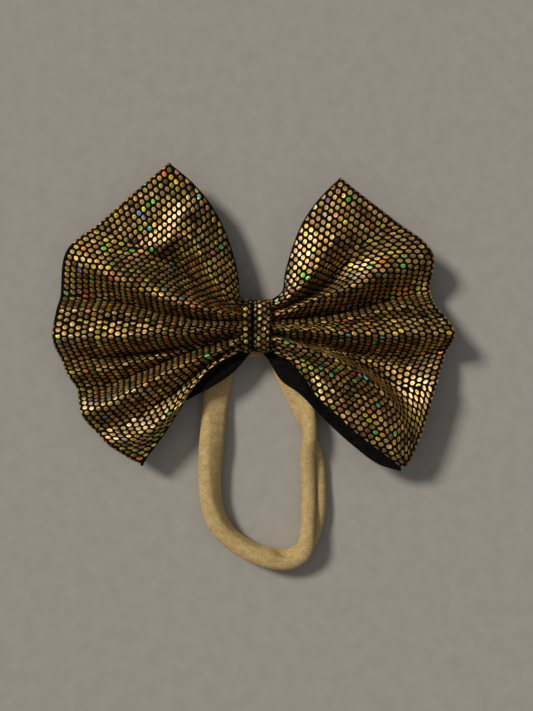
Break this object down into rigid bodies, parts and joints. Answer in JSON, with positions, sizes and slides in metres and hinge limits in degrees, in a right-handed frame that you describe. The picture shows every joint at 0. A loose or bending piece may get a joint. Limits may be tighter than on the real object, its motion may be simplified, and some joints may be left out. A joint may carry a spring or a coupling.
{
  "type": "hair bow on headband",
  "caption": "Pleated two-lobe fabric hair bow, pinched in a wrapped centre knot and fixed on a soft elastic headband loop.",
  "frame": {"origin": "on the flat back of the headband, behind the middle of the knot", "axes": "+X from the left lobe to the right lobe seen from the front, +Y up the bow, +Z out of its front; the headband loop lies along -Y"},
  "size_m": [0.1264, 0.1307, 0.018],
  "materials": {
    "dotted_fabric": "black knit covered with gold holographic foil dots",
    "black_backing": "matte black fabric",
    "interlining": "matte non-woven",
    "black_thread": "spun thread",
    "nylon_band": "soft brushed nylon knit",
    "glue": "set hot-melt glue"
  },
  "bodies": {
    "knot": {"centre_wrap": "dotted_fabric", "wrap_tail": "dotted_fabric", "glue_patch": "glue", "gathered_core": "black_backing", "gather_thread": "black_thread", "headband_bridge": "nylon_band"},
    "left_lobe": {"left_front_panel": "dotted_fabric", "left_stiffener": "interlining", "left_back_panel": "black_backing", "left_rim_seam": "black_thread"},
    "right_lobe": {"right_front_panel": "dotted_fabric", "right_stiffener": "interlining", "right_back_panel": "black_backing", "right_rim_seam": "black_thread"},
    "headband": {"headband_left_strand": "nylon_band", "headband_right_strand": "nylon_band"},
    "headband_end": {"headband_bend": "nylon_band"}
  },
  "joints": [
    {"name": "left_lobe_flex", "type": "hinge", "parent": "knot", "child": "left_lobe", "pos_m": [-0.007, 0, 0.01], "axis": [0, 1, 0], "range_deg": [-3, 40], "stiffness_Nm_per_rad": 0.06},
    {"name": "right_lobe_flex", "type": "hinge", "parent": "knot", "child": "right_lobe", "pos_m": [0.007, 0, 0.01], "axis": [0, -1, 0], "range_deg": [-3, 40], "stiffness_Nm_per_rad": 0.06},
    {"name": "headband_swing", "type": "hinge", "parent": "knot", "child": "headband", "pos_m": [0, 0.0006, 0.0016], "axis": [1, 0, 0], "range_deg": [0, 150]},
    {"name": "headband_stretch", "type": "slide", "parent": "headband", "child": "headband_end", "axis": [0, -1, 0], "range_m": [0, 0.06], "stiffness_N_per_m": 40, "deforming": ["headband_left_strand", "headband_right_strand"]}
  ]
}
